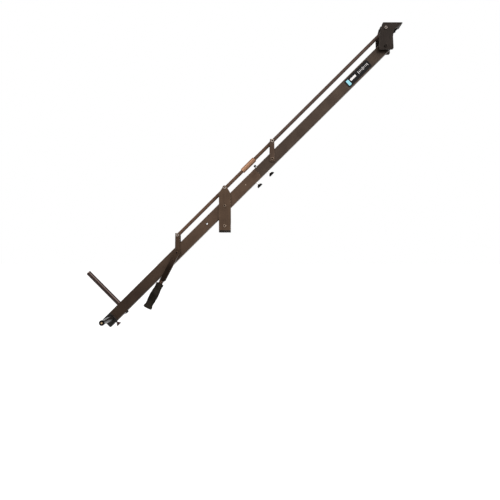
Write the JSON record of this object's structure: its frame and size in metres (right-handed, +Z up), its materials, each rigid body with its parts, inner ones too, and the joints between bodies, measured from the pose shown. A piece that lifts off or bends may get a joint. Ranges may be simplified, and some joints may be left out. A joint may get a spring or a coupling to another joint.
{
  "type": "camera jib crane",
  "caption": "Tilting camera crane arm on a panning post: upper rods and links keep its camera platform level, with a weight bar, push bar and tilt handle at the rear.",
  "frame": {"origin": "centre of the underside of the base plate, on the pan axis, where the tripod's screw goes in", "axes": "+X towards the camera head, +Y away from the tilt handle's side, +Z up"},
  "size_m": [1.6369, 0.495, 1.5732],
  "materials": {
    "bronze_anodised": "brown-black anodised, satin",
    "dark_anodised": "darker brown anodised, satin",
    "head_black": "black anodised, satin",
    "black_plastic": "moulded, fine grain",
    "grip_rubber": "ribbed soft rubber",
    "bright_steel": "zinc plated",
    "bronze_steel": "brown oxide",
    "dark_steel": "polished, dark",
    "tan_anodised": "copper-tan anodised",
    "white_nylon": "plain nylon"
  },
  "bodies": {
    "base": {"base_plate": "black_plastic", "pan_stud": "bright_steel", "thrust_washer": "white_nylon", "pan_nut": "bright_steel"},
    "post": {"post_block": "bronze_anodised", "post_plate_near": "bronze_anodised", "post_plate_far": "bronze_anodised", "foot_screw_near": "bronze_steel", "foot_screw_far": "bronze_steel", "main_pivot_screw": "bronze_steel", "main_pivot_nut": "bright_steel", "pivot_spacer_near": "black_plastic", "pivot_spacer_far": "black_plastic", "post_upper_screw": "bright_steel", "post_upper_nut": "bright_steel", "upper_spacer_near": "black_plastic", "upper_spacer_far": "black_plastic"},
    "beam": {"rear_beam": "bronze_anodised", "front_beam": "bronze_anodised", "splice_sleeve": "dark_anodised", "main_bush": "white_nylon", "rear_end_block": "black_plastic", "front_end_plug": "black_plastic", "weight_bar": "bronze_steel", "weight_bar_bolt": "black_plastic"},
    "push_bar": {"push_bar": "dark_steel", "push_bar_cap_near": "black_plastic", "push_bar_cap_far": "black_plastic"},
    "clamp_screw": {"push_bar_clamp_screw": "dark_anodised"},
    "splice_screw_rear": {"splice_knob_rear": "black_plastic", "splice_stud_rear": "bright_steel"},
    "splice_screw_front": {"splice_knob_front": "black_plastic", "splice_stud_front": "bright_steel"},
    "splice_screw_top": {"splice_knob_top": "black_plastic", "splice_stud_top": "bright_steel"},
    "rear_link": {"rear_link_near": "bronze_anodised", "rear_link_far": "bronze_anodised", "rear_link_pin": "bronze_steel", "rear_link_upper_pin": "bright_steel", "handle_lever": "dark_anodised", "lever_screw": "bronze_steel", "handle_rod": "bronze_steel", "handle_grip": "grip_rubber"},
    "front_link": {"front_link_near": "bronze_anodised", "front_link_far": "bronze_anodised", "front_link_pin": "bronze_steel", "front_link_upper_pin": "bright_steel"},
    "head": {"head_plate_near": "head_black", "head_plate_far": "head_black", "camera_platform": "head_black", "head_pin": "head_black", "head_upper_pin": "bright_steel"},
    "camera_screw": {"camera_screw": "black_plastic"},
    "rear_rod": {"rear_rod": "bronze_anodised"},
    "middle_rod": {"middle_rod_rear": "bronze_anodised", "middle_rod_front": "bronze_anodised"},
    "turnbuckle": {"turnbuckle": "tan_anodised"},
    "front_rod": {"front_rod": "bronze_anodised"}
  },
  "joints": [
    {"name": "pan", "type": "hinge", "parent": "base", "child": "post", "pos_m": [0, 0, 0], "axis": [0, 0, 1], "continuous": true},
    {"name": "boom", "type": "hinge", "parent": "post", "child": "beam", "pos_m": [0, 0, 0.137], "axis": [0, -1, 0], "range_deg": [-96.8, 7.2]},
    {"name": "rear_link_pivot", "type": "hinge", "parent": "beam", "child": "rear_link", "pos_m": [-0.2448, 0, -0.1061], "axis": [0, -1, 0], "range_deg": [-7.2, 96.8]},
    {"name": "front_link_pivot", "type": "hinge", "parent": "beam", "child": "front_link", "pos_m": [0.2448, 0, 0.3801], "axis": [0, -1, 0], "range_deg": [-7.2, 96.8]},
    {"name": "head_pivot", "type": "hinge", "parent": "beam", "child": "head", "pos_m": [0.82878, 0, 0.96001], "axis": [0, -1, 0], "range_deg": [-7.2, 96.8]},
    {"name": "rear_rod_pivot", "type": "hinge", "parent": "post", "child": "rear_rod", "pos_m": [0, 0, 0.229], "axis": [0, -1, 0], "range_deg": [-96.8, 7.2]},
    {"name": "middle_rod_pivot", "type": "hinge", "parent": "post", "child": "middle_rod", "pos_m": [0, 0, 0.229], "axis": [0, -1, 0], "range_deg": [-96.8, 7.2]},
    {"name": "front_rod_pivot", "type": "hinge", "parent": "front_link", "child": "front_rod", "pos_m": [0.2448, 0, 0.4721], "axis": [0, -1, 0], "range_deg": [-96.8, 7.2]},
    {"name": "turnbuckle_turn", "type": "hinge", "parent": "middle_rod", "child": "turnbuckle", "pos_m": [0.1224, 0, 0.35055], "axis": [0.7096, 0, 0.7046], "continuous": true},
    {"name": "splice_screw_rear_turn", "type": "hinge", "parent": "beam", "child": "splice_screw_rear", "pos_m": [0.14475, 0, 0.28075], "axis": [0.7046, 0, -0.7096], "continuous": true},
    {"name": "splice_screw_front_turn", "type": "hinge", "parent": "beam", "child": "splice_screw_front", "pos_m": [0.20578, 0, 0.34134], "axis": [0.7046, 0, -0.7096], "continuous": true},
    {"name": "splice_screw_top_turn", "type": "hinge", "parent": "beam", "child": "splice_screw_top", "pos_m": [0.18307, 0, 0.3188], "axis": [-0.7046, 0, 0.7096], "continuous": true},
    {"name": "clamp_screw_turn", "type": "hinge", "parent": "beam", "child": "clamp_screw", "pos_m": [-0.58611, 0, -0.44503], "axis": [0.7046, 0, -0.7096], "continuous": true},
    {"name": "push_bar_slide", "type": "slide", "parent": "beam", "child": "push_bar", "axis": [0, 1, 0], "range_m": [-0.1, 0.1]},
    {"name": "camera_screw_turn", "type": "hinge", "parent": "head", "child": "camera_screw", "pos_m": [0.87178, 0, 1.0445], "axis": [0, 0, 1], "continuous": true}
  ],
  "couplings": [
    {"joint": "rear_link_pivot", "follows": "boom", "ratio": -1},
    {"joint": "front_link_pivot", "follows": "boom", "ratio": -1},
    {"joint": "head_pivot", "follows": "boom", "ratio": -1},
    {"joint": "rear_rod_pivot", "follows": "boom", "ratio": 1},
    {"joint": "middle_rod_pivot", "follows": "boom", "ratio": 1},
    {"joint": "front_rod_pivot", "follows": "boom", "ratio": 1}
  ]
}
